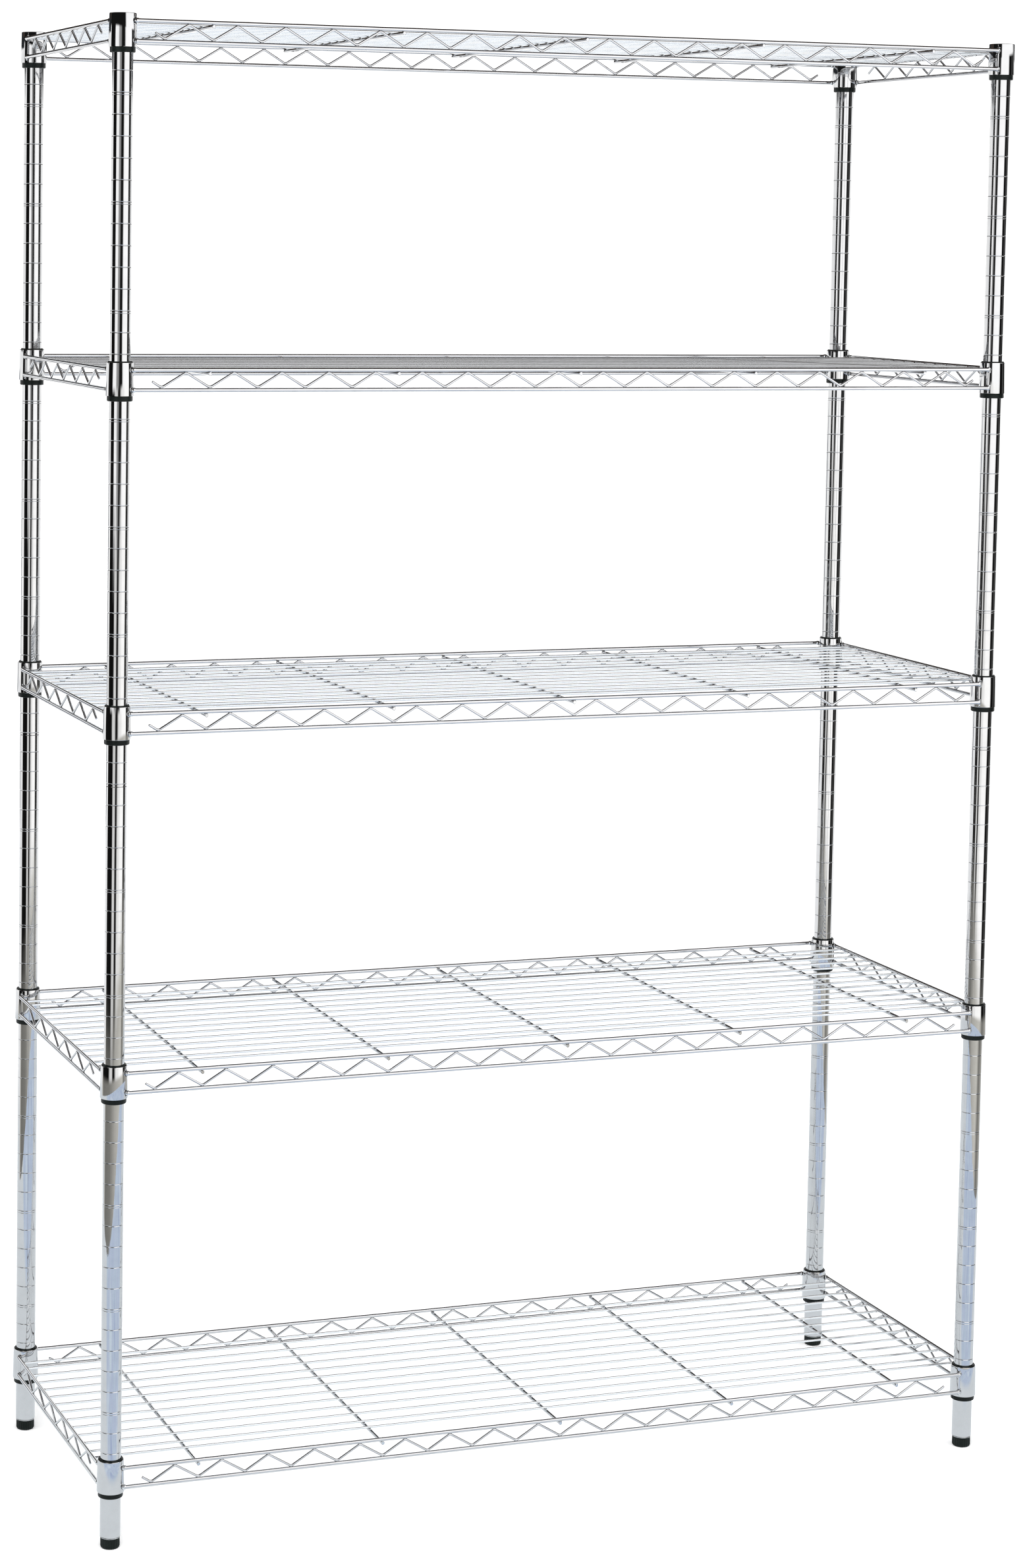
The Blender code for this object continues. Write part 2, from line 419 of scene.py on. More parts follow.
RAIL_R = 2.4 * MM
RAIL_OUT = 13.0 * MM
RAIL_TOP = 30.8 * MM
RAIL_LOW = 7.1 * MM
RAIL_INSET = 12.0 * MM
KNOT_ALONG = 13.8 * MM
KNOT_OUT = 12.5 * MM
BEARER_R = 2.25 * MM
BEARER_Z = RAIL_TOP - RAIL_R - BEARER_R + 0.1 * MM
BEARER_END = SPAN_Y + RAIL_OUT + 2.0 * MM
DECK_R = 1.5 * MM
DECK_Z = BEARER_Z + BEARER_R + DECK_R - 0.15 * MM
DECK_PITCH = 28.2 * MM
DECK_EDGE_Y = 176.5 * MM
DECK_Y = [DECK_PITCH * (i + 0.5) for i in range(6)] + [DECK_EDGE_Y]
BRACE_R = 1.5 * MM
BRACE_STEP = 29.75 * MM
BENDS_X = 18
BENDS_Y = 5
BEARER_X = [i * 8 * BRACE_STEP for i in range(-2, 3)]
BEND_R = 5.0 * MM
BEND_LOW = RAIL_LOW + RAIL_R + BRACE_R - 0.1 * MM
BEND_TOP = RAIL_TOP - RAIL_R - BRACE_R + 0.1 * MM

# Degrees inward from a rail's side, and (low, high, radius, how far it sinks in) for each ridge.
RIDGE_TURN = 48
RIDGES = (
    (10.0 * MM, 27.8 * MM, 1.6 * MM, 0.55 * MM),
    (0.8 * MM, 10.5 * MM, 0.35 * MM, 0.2 * MM),
    (27.5 * MM, 38.3 * MM, 0.35 * MM, 0.2 * MM),
)

KNOT_SIZE = (3.1 * MM, 2.9 * MM, 3.9 * MM)
KNOT_SPATTER = 5
SPATTER_TURN = 44
# Half sizes of the fillets in mm: sideways, upward and along the wire.
BEND_FILLET = (1.1, 0.55, 2.6)
DECK_END_FILLET = (1.95, 1.75, 1.5)
DECK_FILLET = (1.5, 0.5, 1.5)
BEARER_FILLET = (2.3, 0.7, 2.0)
# How far the braces' last legs run on beyond the last bend, as (along, height).
LONG_HOOK = (11.6 * MM, 6.4 * MM)
SHORT_HOOK = (17.0 * MM, -9.0 * MM)
RAIL_SIDES, BEARER_SIDES, THIN_SIDES = 20, 18, 12

GROOVE_PITCH = 25.4 * MM
GROOVE_LOWEST = 93.5 * MM
GROOVE_COUNT = 69
GROOVE_HALF, GROOVE_DEPTH = 0.7 * MM, 0.38 * MM
TWIN_HALF, TWIN_DEPTH = 0.45 * MM, 0.22 * MM
TWIN_DROP = 2.9 * MM
# Counted from the top: every fifth groove has a shallow twin, and the count starts again below the seam.
MARKED = (*range(4, 35, 5), *range(41, 67, 5))

THREAD_PITCH = 1.5 * MM
THREAD_DEPTH = 0.65 * MM
STUD_HOLE_R = 4.3 * MM


# ---------------------------------------------------------------- posts


def groove(z, half, deep):
    """A rounded groove in the post wall, from its upper edge down."""
    shape = ((1.0, 0.0), (0.62, 0.62), (0.25, 0.95), (-0.25, 0.95), (-0.62, 0.62), (-1.0, 0.0))
    return [(POST_R - deep * d, z + half * h) for h, d in shape]


def groove_lines():
    """(height, half width, depth) of every groove from the top down. The marked ones have a twin below."""
    lines = []
    for from_top in range(1, GROOVE_COUNT + 1):
        z = GROOVE_LOWEST + GROOVE_PITCH * (GROOVE_COUNT - from_top)
        lines.append((z, GROOVE_HALF, GROOVE_DEPTH))
        if from_top in MARKED:
            lines.append((z - TWIN_DROP, TWIN_HALF, TWIN_DEPTH))
    return lines


def post_profile(low, top):
    """A tube's wall between two heights, with its grooves kept clear of the cut ends."""
    edge = 0.35 * MM
    clear = 2 * MM
    inner = POST_R - TUBE_WALL
    outer = [(POST_R - edge, top), (POST_R, top - edge)]
    for z, half, deep in sorted(groove_lines(), reverse=True):
        if low + clear < z < top - clear:
            outer += groove(z, half, deep)
    outer += [(POST_R, low + edge), (POST_R - edge, low)]
    return outer + [(inner, low), (inner, top)]


def build_posts(chrome):
    for corner in CORNERS:
        for part, low, top in (("lower", POST_BOTTOM, SEAM_LOW), ("upper", SEAM_HIGH, POST_TOP)):
            shape = Shape()
            lathe(shape, post_profile(low, top), POSTS[corner], 56, True)
            node = f"post_{part}_{corner}"
            obj = shape.build(f"grooved_{node}", chrome)
            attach(obj, "frame")
            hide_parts(node)


# ---------------------------------------------------------------- wedge sleeves


def sleeve_profile(level):
    """The wedge between post and collar: its foot hangs below the collar with a rounded edge."""
    z = SHELF_Z[level]
    inner = POST_R + SLEEVE_FIT
    slope = (COLLAR_R_LOW - COLLAR_R_TOP) / COLLAR_H
    low = COLLAR_R_LOW - COLLAR_WALL - COLLAR_FIT
    foot = low - FOOT_INSET
    drop = SLEEVE_DROP + SLEEVE_HANG
    top_z = COLLAR_H + (TOP_SLEEVE_PROUD if level == LEVELS[-1] else SLEEVE_PROUD)
    top = low - slope * top_z
    return [
        (inner, z + top_z - 0.25 * MM),
        (inner + 0.25 * MM, z + top_z),
        (top - 0.4 * MM, z + top_z),
        (top, z + top_z - 0.4 * MM),
        (low, z + 0.4 * MM),
        (foot, z - 0.1 * MM),
        (foot, z - drop + 1.2 * MM),
        (foot - 0.25 * MM, z - drop + 0.45 * MM),
        (foot - 0.9 * MM, z - drop),
        (inner, z - drop),
    ]


def build_sleeves(plastic):
    """Two halves on each post. On the rear right post they meet a quarter turn from the others."""
    gap = SLEEVE_SLIT / 2 / POST_R
    sweep = math.pi - 2 * gap
    for level in LEVELS:
        for corner in CORNERS:
            turn = math.pi / 2 if corner == "rear_right" else 0.0
            shape = Shape()
            for half in (0, 1):
                start = turn + math.pi * half + gap
                lathe(shape, sleeve_profile(level), POSTS[corner], 28, True, start=start, sweep=sweep)
            obj = shape.build(f"split_sleeve_{level}_{corner}", plastic)
            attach(obj, "frame")
            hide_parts(f"sleeve_{level}_{corner}")


# ---------------------------------------------------------------- feet and caps


def build_feet(zinc, plastic):
    for corner in CORNERS:
        centre = POSTS[corner]
        low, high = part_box(f"foot_insert_{corner}")
        outer = (high.x - low.x) / 2
        plug = POST_R - TUBE_WALL - 0.2 * MM
        flange = low.z + 1.2 * MM
        shape = Shape()
        profile = [
            (STUD_HOLE_R, high.z),
            (plug - 0.6 * MM, high.z),
            (plug, high.z - 0.8 * MM),
            (plug, flange),
            (outer - 0.3 * MM, flange),
            (outer, flange - 0.3 * MM),
            (outer, low.z + 0.3 * MM),
            (outer - 0.3 * MM, low.z),
            (STUD_HOLE_R + 0.5 * MM, low.z),
            (STUD_HOLE_R, low.z + 0.5 * MM),
        ]
        lathe(shape, profile, centre, 48, True)
        obj = shape.build(f"flanged_insert_{corner}", zinc)
        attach(obj, "frame")
        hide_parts(f"foot_insert_{corner}")

        obj = build_stud(corner, centre, zinc)
        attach(obj, f"foot_stud_{corner}")
        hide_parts(f"foot_stud_{corner}")

        obj = build_pad(corner, centre, plastic)
        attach(obj, f"foot_pad_{corner}")
        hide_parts(f"foot_pad_{corner}")


def build_stud(corner, centre, zinc):
    """A threaded stud. The thread is one helix cut in its side, and its upper end tapers."""
    low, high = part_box(f"foot_stud_{corner}")
    major = (high.x - low.x) / 2
    minor = major - THREAD_DEPTH
    around, per_pitch = 24, 6
    flank, taper = 4.6, 0.14
    rows = round((high.z - low.z) / THREAD_PITCH * per_pitch)
    points, faces = [], []
    for i in range(rows + 1):
        z = low.z + (high.z - low.z) * i / rows
        fade = min(1.0, (high.z - z) / (1.6 * MM) + 0.35)
        for k in range(around):
            phase = (z / THREAD_PITCH - k / around) % 1.0
            tooth = min(1.0, max(0.0, 2.0 - flank * abs(phase - 0.5)))
            r = (minor + (major - minor) * tooth) * (1 - taper * (1 - fade))
            a = TAU * k / around
            points.append((centre.x + r * math.cos(a), centre.y + r * math.sin(a), z))
    for i in range(rows):
        for k in range(around):
            n = (k + 1) % around
            faces.append(
                [i * around + k, i * around + n, (i + 1) * around + n, (i + 1) * around + k]
            )
    faces.append(list(reversed(range(around))))
    faces.append(list(range(rows * around, (rows + 1) * around)))
    shape = Shape()
    shape.add(points, faces)
    return shape.build(f"threaded_stud_{corner}", zinc, sharp=50)


def build_pad(corner, centre, plastic):
    """The screw foot's black knob: vertical ribs between a plain top band and a scalloped base."""
    low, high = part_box(f"foot_pad_{corner}")
    r = (high.x - low.x) / 2
    ribs = 24
    # The share of the radius cut away between ribs, by the profile's point.
    dips = {3: 0.035, 4: 0.055, 5: 0.055, 6: 0.045, 7: 0.02}

    def waves(angle, index):
        dip = dips.get(index, 0.0)
        return 1 - dip * (0.5 - 0.5 * math.cos(ribs * angle)) ** 0.7

    profile = [
        (0.0, high.z),
        (r - 0.8 * MM, high.z),
        (r - 0.1 * MM, high.z - 0.6 * MM),
        (r, high.z - 1.6 * MM),
        (r, high.z - 2.2 * MM),
        (r, low.z + 3.0 * MM),
        (r - 0.1 * MM, low.z + 1.8 * MM),
        (r - 0.9 * MM, low.z + 0.5 * MM),
        (r - 1.7 * MM, low.z),
        (0.0, low.z),
    ]
    shape = Shape()
    lathe(shape, profile, centre, ribs * 5, False, waves)
    return shape.build(f"ribbed_foot_{corner}", plastic, sharp=40)


def build_caps(plastic):
    for corner in CORNERS:
        low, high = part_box(f"post_cap_{corner}")
        r = (high.x - low.x) / 2
        plug = POST_R - TUBE_WALL - 0.25 * MM
        rim = POST_TOP + 0.2 * MM
        crown = 0.7 * MM
        dome = [
            (r * math.sin(k / 5), high.z - crown * (1 - math.cos(k / 5 * 1.35))) for k in range(6)
        ]
        edge = dome[-1][1]
        profile = dome + [
            (r - 0.45 * MM, edge - 0.25 * MM),
            (r - 0.1 * MM, edge - 0.6 * MM),
            (r, edge - 1.0 * MM),
            (r, rim + 0.15 * MM),
            (r - 0.15 * MM, rim),
            (plug, rim),
            (plug, low.z + 0.8 * MM),
            (plug - 0.8 * MM, low.z),
            (0.0, low.z),
        ]
        shape = Shape()
        lathe(shape, profile, POSTS[corner], 48, False)
        obj = shape.build(f"domed_cap_{corner}", plastic)
        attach(obj, "frame")
        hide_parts(f"post_cap_{corner}")


# ---------------------------------------------------------------- shelves


def collar_profile(z):
    """A tapered ring with a rolled upper rim."""
    slope = (COLLAR_R_LOW - COLLAR_R_TOP) / COLLAR_H

    def outer(h):
        return COLLAR_R_LOW - slope * h

    roll = COLLAR_WALL / 2
    top = COLLAR_H - roll
    profile = []
    mid = outer(top) - roll
    for a in (180, 150, 120, 90, 60, 30, 0):
        r = mid + roll * math.cos(math.radians(a))
        profile.append((r, z + top + roll * math.sin(math.radians(a))))
    low = 0.45 * MM
    profile += [
        (outer(low), z + low),
        (outer(0) - 0.12 * MM, z + 0.12 * MM),
        (outer(0) - 0.45 * MM, z),
        (outer(0) - COLLAR_WALL + 0.25 * MM, z),
        (outer(0) - COLLAR_WALL, z + 0.25 * MM),
    ]
    return profile


def rail_sides(corner):
    """(outward, inward) directions at a corner, for the rail along X and for the rail along Y."""
    centre = POSTS[corner]
    sx = 1 if centre.x > 0 else -1
    sy = 1 if centre.y > 0 else -1
    along_x = (Vector((0, sy, 0)), Vector((-sx, 0, 0)))
    along_y = (Vector((sx, 0, 0)), Vector((0, -sy, 0)))
    return along_x, along_y


def on_collar(level, corner, sides, degrees, h, sink):
    """A point on a collar's face, turned that far inward from a rail's side, and its outward normal."""
    a = math.radians(degrees)
    normal = sides[0] * math.cos(a) + sides[1] * math.sin(a)
    r = COLLAR_R_LOW - (COLLAR_R_LOW - COLLAR_R_TOP) / COLLAR_H * h - sink
    return POSTS[corner].to_3d() + normal * r + UP * (SHELF_Z[level] + h), normal


def build_collars(level, chrome):
    """Four rings, each with an upright pressed ridge and a seam inward of either pair of rails."""
    shape = Shape()
    for corner in CORNERS:
        lathe(shape, collar_profile(SHELF_Z[level]), POSTS[corner], 64, True)
        for sides in rail_sides(corner):
            for low, high, radius, sink in RIDGES:
                ends = [on_collar(level, corner, sides, RIDGE_TURN, h, sink) for h in (low, high)]
                side = UP.cross(ends[0][1])
                tube(shape, [spot for spot, _ in ends], radius, 16, side, 0.5)
    return shape.build(f"shelf_{level}_collars", chrome)


def zigzag(count, hook):
    """Corner points (along, height) of a zigzag whose bends touch the rails, with the middle one low.

    count is how many bends lie on each side of the middle one, and hook the last leg beyond them.
    """
    rise = BEND_TOP - BEND_LOW
    lift = 0.0
    for _ in range(6):
        half_turn = math.atan2(rise + 2 * lift, BRACE_STEP)
        lift = BEND_R * (1 / math.cos(half_turn) - 1)
    points = []
    for step in range(-count, count + 1):
        points.append((step * BRACE_STEP, BEND_TOP + lift if step % 2 else BEND_LOW - lift))
    end = points[-1]
    extra = (end[0] + hook[0], (BEND_LOW if end[1] < BEND_LOW else BEND_TOP) + hook[1])
    return [(-extra[0], extra[1])] + points + [extra]


def build_truss(level, chrome):
    """The rails round the shelf, the zigzag braces between them and the bearers across."""
    z = SHELF_Z[level]
    out_x, out_y = SPAN_X + RAIL_OUT, SPAN_Y + RAIL_OUT
    end_x, end_y = SPAN_X - RAIL_INSET, SPAN_Y - RAIL_INSET
    long_line = rounded([(u, 0, h) for u, h in zigzag(BENDS_X, LONG_HOOK)], BEND_R, 6)
    short_line = rounded([(0, u, h) for u, h in zigzag(BENDS_Y, SHORT_HOOK)], BEND_R, 6)
    shape = Shape()
    for h in (RAIL_LOW, RAIL_TOP):
        for s in (-1, 1):
            along_x = [(-end_x, s * out_y, z + h), (end_x, s * out_y, z + h)]
            along_y = [(s * out_x, -end_y, z + h), (s * out_x, end_y, z + h)]
            tube(shape, along_x, RAIL_R, RAIL_SIDES, UP)
            tube(shape, along_y, RAIL_R, RAIL_SIDES, UP)
    for s in (-1, 1):
        long_brace = [(p.x, s * out_y, z + p.z) for p in long_line]
        short_brace = [(s * out_x, p.y, z + p.z) for p in short_line]
        tube(shape, long_brace, BRACE_R, THIN_SIDES, Y_AXIS, 0.45)
        tube(shape, short_brace, BRACE_R, THIN_SIDES, X_AXIS, 0.45)
    for x in BEARER_X:
        bearer = [(x, -BEARER_END, z + BEARER_Z), (x, BEARER_END, z + BEARER_Z)]
        tube(shape, bearer, BEARER_R, BEARER_SIDES, UP, 0.22)
    return shape.build(f"shelf_{level}_truss", chrome)


def build_deck(level, chrome):
    """The long wires that lie on the bearers and end on the side rails."""
    z = SHELF_Z[level]
    shape = Shape()
    end = SPAN_X + RAIL_OUT - RAIL_R * 0.6
    for y in DECK_Y:
        for s in (-1, 1):
            wire = [(-end, s * y, z + DECK_Z), (end, s * y, z + DECK_Z)]
            tube(shape, wire, DECK_R, THIN_SIDES, UP)
    return shape.build(f"shelf_{level}_deck", chrome)


def weld_knots(shape, level, rng):
    """A bead where each rail meets a collar, with spatter on the ridge above and below it."""
    for corner in CORNERS:
        for sides in rail_sides(corner):
            for h in (RAIL_LOW, RAIL_TOP):
                spot = POSTS[corner].to_3d() + sides[0] * KNOT_OUT + sides[1] * KNOT_ALONG
                spot += UP * (SHELF_Z[level] + h)
                axes = (UP, sides[0], sides[1])
                blob(shape, spot, axes, KNOT_SIZE, 8, 16, 0.03, rng)
                for _ in range(KNOT_SPATTER):
                    turn = SPATTER_TURN + rng.uniform(-3, 5)
                    rise = h + rng.choice((-1, 1)) * rng.uniform(0.9, 1.7) * RAIL_R
                    spot, _ = on_collar(level, corner, sides, turn, rise, 0.1 * MM)
                    size = rng.uniform(0.8, 1.3) * MM
                    blob(shape, spot, axes, (size, size, size), 5, 8, 0.12, rng)


def build_welds(level, weld):
    """Beads where rails meet collars, and small fillets where wires cross."""
    rng = random.Random(400 + level)
    z = SHELF_Z[level]
    shape = Shape()
    weld_knots(shape, level, rng)
    out_x, out_y = SPAN_X + RAIL_OUT, SPAN_Y + RAIL_OUT
    along_x, along_y = (Y_AXIS, UP, X_AXIS), (X_AXIS, UP, Y_AXIS)

    def fillet(x, y, h, axes, sizes):
        spread = rng.uniform(0.9, 1.15)
        blob(shape, (x, y, z + h), axes, [s * MM * spread for s in sizes], 4, 8, 0.06, rng)

    def bend_height(step):
        return RAIL_TOP - RAIL_R if step % 2 else RAIL_LOW + RAIL_R

    for step in range(-BENDS_X, BENDS_X + 1):
        for s in (-1, 1):
            fillet(step * BRACE_STEP, s * out_y, bend_height(step), along_x, BEND_FILLET)
    for step in range(-BENDS_Y, BENDS_Y + 1):
        for s in (-1, 1):
            fillet(s * out_x, step * BRACE_STEP, bend_height(step), along_y, BEND_FILLET)
    for y in DECK_Y:
        for sy in (-1, 1):
            for sx in (-1, 1):
                x = sx * (out_x - RAIL_R - 0.2 * MM)
                fillet(x, sy * y, DECK_Z, along_x, DECK_END_FILLET)
            for x in BEARER_X:
                fillet(x, sy * y, BEARER_Z + BEARER_R, along_y, DECK_FILLET)
    for x in BEARER_X:
        for s in (-1, 1):
            fillet(x, s * out_y, BEARER_Z + BEARER_R, along_y, BEARER_FILLET)
    return shape.build(f"shelf_{level}_welds", weld)


def build_shelves(chrome, rail, wire, weld):
    for level in LEVELS:
        for obj in (
            build_collars(level, chrome),
            build_truss(level, rail),
            build_deck(level, wire),
            build_welds(level, weld),
        ):
            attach(obj, f"shelf_{level}")
            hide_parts(f"shelf_{level}")


# ---------------------------------------------------------------- studio


def grey(value):
    """The linear light of an 8-bit grey."""
    v = value / 255
    return ((v + 0.055) / 1.055) ** 2.4 if v > 0.04045 else v / 12.92


# The posts' plating reflects this share of light, and the screens make up for it.
POST_PLATING = 0.64
SCREEN_POWER = 1 / POST_PLATING
ROOM_R = 1.8
ROOM_H = 2.75
REAR_Y = 4.5
REAR_X = 5.0
# Where the screens end, in degrees from the front.
LEFT_EDGE, RIGHT_EDGE = -112.0, 96.0
WALL_FOOT = -0.01
FLOOR_Z = -0.0002
SHEEN_Z = -0.0005
DARK = (0.018, 0.02, 0.022, 1)
DARK_PANEL = (0.03, 0.04, 0.07, 1)
DARK_CEILING = (0.038, 0.030, 0.026, 1)


def angle_stops(pairs, tint=(1.0, 1.0, 1.0)):
    """Ramp stops from (degrees from the front, 8-bit grey as the posts show it)."""
    return [
        ((degrees + 180) / 360, tuple(grey(value) * t for t in tint)) for degrees, value in pairs
    ]


def glow_material(name):
    made, n = material(name)
    made.cycles.emission_sampling = "NONE"
    return made, n


def only_reflected(obj):
    """A lit studio card that only mirror-like surfaces see."""
    obj.visible_camera = False
    obj.visible_diffuse = False
    obj.visible_shadow = False
    obj.visible_transmission = False
    obj.visible_volume_scatter = False


def stage_mesh(name, points, faces, made):
    mesh = bpy.data.meshes.new(name)
    mesh.from_pydata(points, [], faces)
    mesh.materials.append(made)
    obj = bpy.data.objects.new(name, mesh)
    bpy.context.scene.collection.objects.link(obj)
    return obj


def glow(n, colour):
    shader = n.new("ShaderNodeEmission", {"Color": colour, "Strength": SCREEN_POWER})
    n.new("ShaderNodeOutputMaterial", {"Surface": shader.outputs[0]})


def build_screens():
    """White and black screens by turns round the front and sides, as a studio sets them for chrome.

    Each list runs from the left to the right: (degrees from the front, 8-bit grey).
    """
    made, n = glow_material("studio_screens")
    where = n.place()
    x, y, z = n.new("ShaderNodeSeparateXYZ", {"Vector": where}).outputs
    turn = n.math("ARCTAN2", x, n.math("MULTIPLY", y, -1.0))
    at = n.math("ADD", n.math("DIVIDE", turn, TAU), 0.5)
    right_side = [(6, 250), (44, 253), (48, 215), (52, 20), (66, 12), (70, 60), (78, 70), (82, 16)]
    right_side += [(91, 16), (95, 225)]
    upper = [(-114, 235), (-109, 235), (-105, 20), (-80, 12), (-76, 50), (-72, 245), (-56, 240)]
    upper += [(-52, 150), (-40, 125), (-36, 25), (-18, 14), (-12, 200), (-8, 250)] + right_side
    lower = [(-116, 235), (-109, 235), (-105, 20), (-66, 12), (-62, 120), (-58, 212), (-46, 200)]
    lower += [(-41, 25), (-31, 14), (-26, 150), (-20, 225), (0, 235)] + right_side
    high = [(-112, 20), (-14, 20), (-4, 250), (75, 252), (95, 35)]
    skirt = [(-112, 190), (-100, 110), (-60, 120), (-20, 165), (40, 190), (60, 110), (96, 170)]
    upper = n.ramp(at, angle_stops(upper))
    lower = n.ramp(at, angle_stops(lower, (1.0, 0.995, 0.98)))
    high = n.ramp(at, angle_stops(high))
    skirt = n.ramp(at, angle_stops(skirt, (1.0, 0.98, 0.90)))
    colour = n.mix(n.span(z, 1.0, 1.25, 0.0, 1.0, True), lower, upper)
    colour = n.mix(n.span(z, 1.92, 2.0, 0.0, 1.0, True), colour, high)
    colour = n.mix(n.span(z, 0.22, 0.42, 1.0, 0.0, True), colour, skirt)
    glow(n, colour)
    count = 72
    points, faces = [], []
    for k in range(count + 1):
        a = math.radians(LEFT_EDGE + (RIGHT_EDGE - LEFT_EDGE) * k / count)
        points += [(ROOM_R * math.sin(a), -ROOM_R * math.cos(a), h) for h in (WALL_FOOT, ROOM_H)]
        if k < count:
            faces.append((2 * k, 2 * k + 2, 2 * k + 3, 2 * k + 1))
    only_reflected(stage_mesh("studio_screens", points, faces, made))


def build_background():
    """A pale sweep far behind, dark above the rack, with a low dark panel at the left."""
    made, n = glow_material("studio_background")
    where = n.place()
    x, _, z = n.new("ShaderNodeSeparateXYZ", {"Vector": where}).outputs
    cloud = n.noise(where, 0.8, 2.0, 0.5)
    pale = n.ramp(cloud, [(0.35, (0.66, 0.67, 0.68)), (0.65, (0.88, 0.88, 0.87))])
    panel = n.math("MULTIPLY", n.span(x, -2.75, -2.65, 0.0, 1.0), n.span(x, -1.5, -1.35, 1.0, 0.0))
    panel = n.math("MULTIPLY", panel, n.span(z, 1.0, 1.15, 1.0, 0.0))
    colour = n.mix(panel, pale, DARK_PANEL)
    colour = n.mix(n.span(z, 1.95, 2.1, 0.0, 1.0, True), colour, DARK)
    glow(n, colour)
    ends = [math.radians(a) for a in (LEFT_EDGE, RIGHT_EDGE)]
    left, right = ((ROOM_R * math.sin(a), -ROOM_R * math.cos(a)) for a in ends)
    line = [left, (-REAR_X, left[1]), (-REAR_X, REAR_Y), (REAR_X, REAR_Y), (REAR_X, right[1]), right]
    points = [(px, py, h) for px, py in line for h in (WALL_FOOT, ROOM_H)]
    faces = [(2 * k, 2 * k + 2, 2 * k + 3, 2 * k + 1) for k in range(len(line) - 1)]
    only_reflected(stage_mesh("studio_background", points, faces, made))


def build_ceiling_and_sheen():
    """A ceiling white only over the front right, and what the plating sees of the floor."""
    made, n = glow_material("studio_ceiling")
    where = n.place()
    x, y, _ = n.new("ShaderNodeSeparateXYZ", {"Vector": where}).outputs
    y = n.math("ADD", y, n.span(x, -0.9, -0.1, 0.9, 0.0))
    side = n.span(y, -1.35, -1.2, 0.0, 1.0, True)
    glow(n, n.mix(side, (1.0, 0.99, 0.98, 1), DARK_CEILING))
    corners = [(-REAR_X, -ROOM_R), (REAR_X, -ROOM_R), (REAR_X, REAR_Y), (-REAR_X, REAR_Y)]
    face = [(0, 1, 2, 3)]
    only_reflected(
        stage_mesh("studio_ceiling", [(cx, cy, ROOM_H) for cx, cy in corners], face, made)
    )

    made, n = glow_material("studio_floor_sheen")
    where = n.place()
    x, y, _ = n.new("ShaderNodeSeparateXYZ", {"Vector": where}).outputs
    away = n.new("ShaderNodeVectorMath", {0: where}, operation="LENGTH").outputs["Value"]
    turn = n.math("ARCTAN2", x, n.math("MULTIPLY", y, -1.0))
    rays = n.new("ShaderNodeCombineXYZ", {0: n.math("MULTIPLY", turn, 2.2), 1: away})
    streak = n.noise(rays.outputs[0], 1.3, 2.0, 0.5)
    near = n.ramp(
        streak,
        [
            (0.32, (0.34, 0.40, 0.55)),
            (0.44, (0.45, 0.53, 0.63)),
            (0.54, (0.41, 0.47, 0.60)),
            (0.66, (0.52, 0.60, 0.68)),
        ],
    )
    near = n.mix(n.span(y, -0.5, -0.35, 0.0, 1.0, True), near, (0.57, 0.605, 0.63, 1))
    glow(n, n.mix(n.span(away, 1.9, 2.6, 0.0, 1.0, True), near, (0.74, 0.75, 0.76, 1)))
    only_reflected(
        stage_mesh("studio_floor_sheen", [(cx, cy, SHEEN_Z) for cx, cy in corners], face, made)
    )


def build_floor():
    made, n = material("pale_floor")
    where = n.place()
    cloud = n.noise(where, 3.0, 2.0, 0.5)
    colour = n.ramp(cloud, [(0.3, (0.93, 0.93, 0.93)), (0.7, (0.95, 0.95, 0.95))])
    shader = n.new("ShaderNodeBsdfDiffuse", {"Color": colour, "Roughness": 1.0})
    n.new("ShaderNodeOutputMaterial", {"Surface": shader.outputs[0]})
    half = 30.0
    corners = [(-half, -half), (half, -half), (half, half), (-half, half)]
    points = [(cx, cy, FLOOR_Z) for cx, cy in corners]
    floor = stage_mesh("pale_floor", points, [(0, 1, 2, 3)], made)
    floor.visible_glossy = False


def build_world():
    """White to the camera, a soft white dome for matt surfaces."""
    world = bpy.data.worlds.new("soft_white")
    bpy.context.scene.world = world
    world.use_nodes = True
    n = Nodes(world.node_tree)
    dome_power, backdrop_power = 1.12, 1.3
    seen = n.new("ShaderNodeLightPath").outputs["Is Camera Ray"]
    strength = n.span(seen, 0.0, 1.0, dome_power, backdrop_power)
    sky = n.new("ShaderNodeBackground", {"Color": (1, 1, 1, 1), "Strength": strength})
    n.new("ShaderNodeOutputWorld", {"Surface": sky.outputs[0]})


# Azimuth, tilt and roll in degrees.
CAMERA_TURN = (-19.01, 4.553, 0.754)
CAMERA_PLACE = (-1.638, -3.967, 1.579)


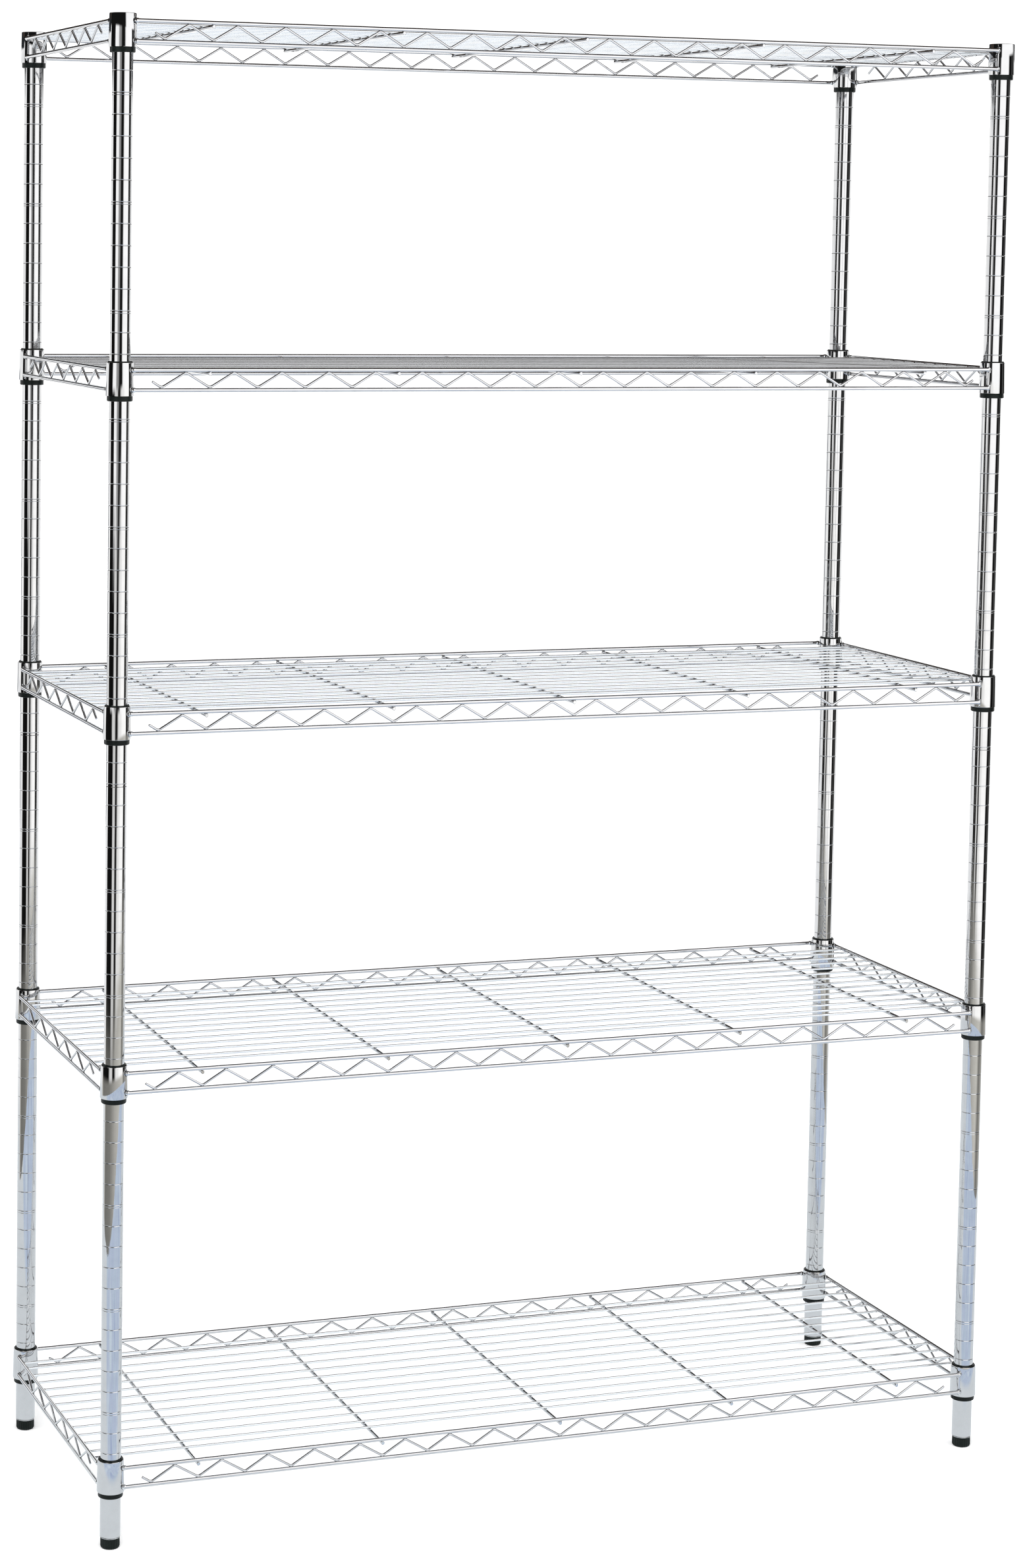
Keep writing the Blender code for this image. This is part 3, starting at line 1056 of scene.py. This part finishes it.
def build_camera():
    """The photograph's own view: from the front left, at about the height of the upper shelves."""
    azimuth, tilt, roll = (math.radians(a) for a in CAMERA_TURN)
    back = Vector(
        (math.sin(azimuth) * math.cos(tilt), -math.cos(azimuth) * math.cos(tilt), math.sin(tilt))
    )
    level = Vector((math.cos(azimuth), math.sin(azimuth), 0))
    above = back.cross(level)
    right = math.cos(roll) * level + math.sin(roll) * above
    up = -math.sin(roll) * level + math.cos(roll) * above
    data = bpy.data.cameras.new("camera")
    data.lens = 76.22
    data.sensor_width = 36.0
    data.shift_x = 0.13
    data.shift_y = -0.18
    data.clip_start = 0.05
    data.clip_end = 100.0
    camera = bpy.data.objects.new("camera", data)
    bpy.context.scene.collection.objects.link(camera)
    turn = Matrix((right, up, back)).transposed().to_4x4()
    camera.matrix_world = Matrix.Translation(CAMERA_PLACE) @ turn
    bpy.context.scene.camera = camera


def build_lights():
    """Two large soft lamps for the matt parts; the chrome sees only the screens."""
    for name, place, size, power in (
        ("front_softbox", (-1.6, -3.0, 3.2), 2.4, 60.0),
        ("side_softbox", (3.0, -1.2, 2.4), 2.0, 30.0),
    ):
        data = bpy.data.lights.new(name, "AREA")
        data.shape = "DISK"
        data.size = size
        data.energy = power
        lamp = bpy.data.objects.new(name, data)
        bpy.context.scene.collection.objects.link(lamp)
        aim = Vector((0, 0, 0.8)) - Vector(place)
        lamp.matrix_world = Matrix.Translation(place) @ aim.to_track_quat("-Z", "Y").to_matrix().to_4x4()
        lamp.visible_glossy = False
        lamp.visible_camera = False


# ---------------------------------------------------------------- build

# Posts, collars and rails get painted crevice shade out to their reach; the deck gets none.
post_chrome = chrome_material("post_chrome", (0.645, 0.645, 0.65))
collar_chrome = chrome_material("collar_chrome", (0.65, 0.65, 0.655), 0.01, 0.0016, False)
rail_chrome = chrome_material("rail_chrome", (0.66, 0.66, 0.67), 0.0, 0.0009, False)
deck_chrome = chrome_material("deck_chrome", (0.83, 0.85, 0.87), 0.02, None, metal=0.9)
weld_chrome = weld_material()
zinc = zinc_material()
sleeve_black = plastic_material("sleeve_black", (0.006, 0.008, 0.0075), 0.24, 0.40, 900.0)
cap_black = plastic_material("cap_black", (0.006, 0.007, 0.007), 0.20, 0.32, 700.0)
foot_black = plastic_material("foot_black", (0.006, 0.009, 0.008), 0.28, 0.44, 800.0)

build_posts(post_chrome)
build_sleeves(sleeve_black)
build_feet(zinc, foot_black)
build_caps(cap_black)
build_shelves(collar_chrome, rail_chrome, deck_chrome, weld_chrome)
for corner in CORNERS:
    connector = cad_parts[f"post_connector_{corner}"]
    connector.data.materials.clear()
    connector.data.materials.append(zinc)

build_screens()
build_background()
build_ceiling_and_sheen()
build_floor()
build_world()
build_lights()
build_camera()
bpy.context.scene.view_settings.view_transform = "Standard"
bpy.context.scene.view_settings.look = "None"
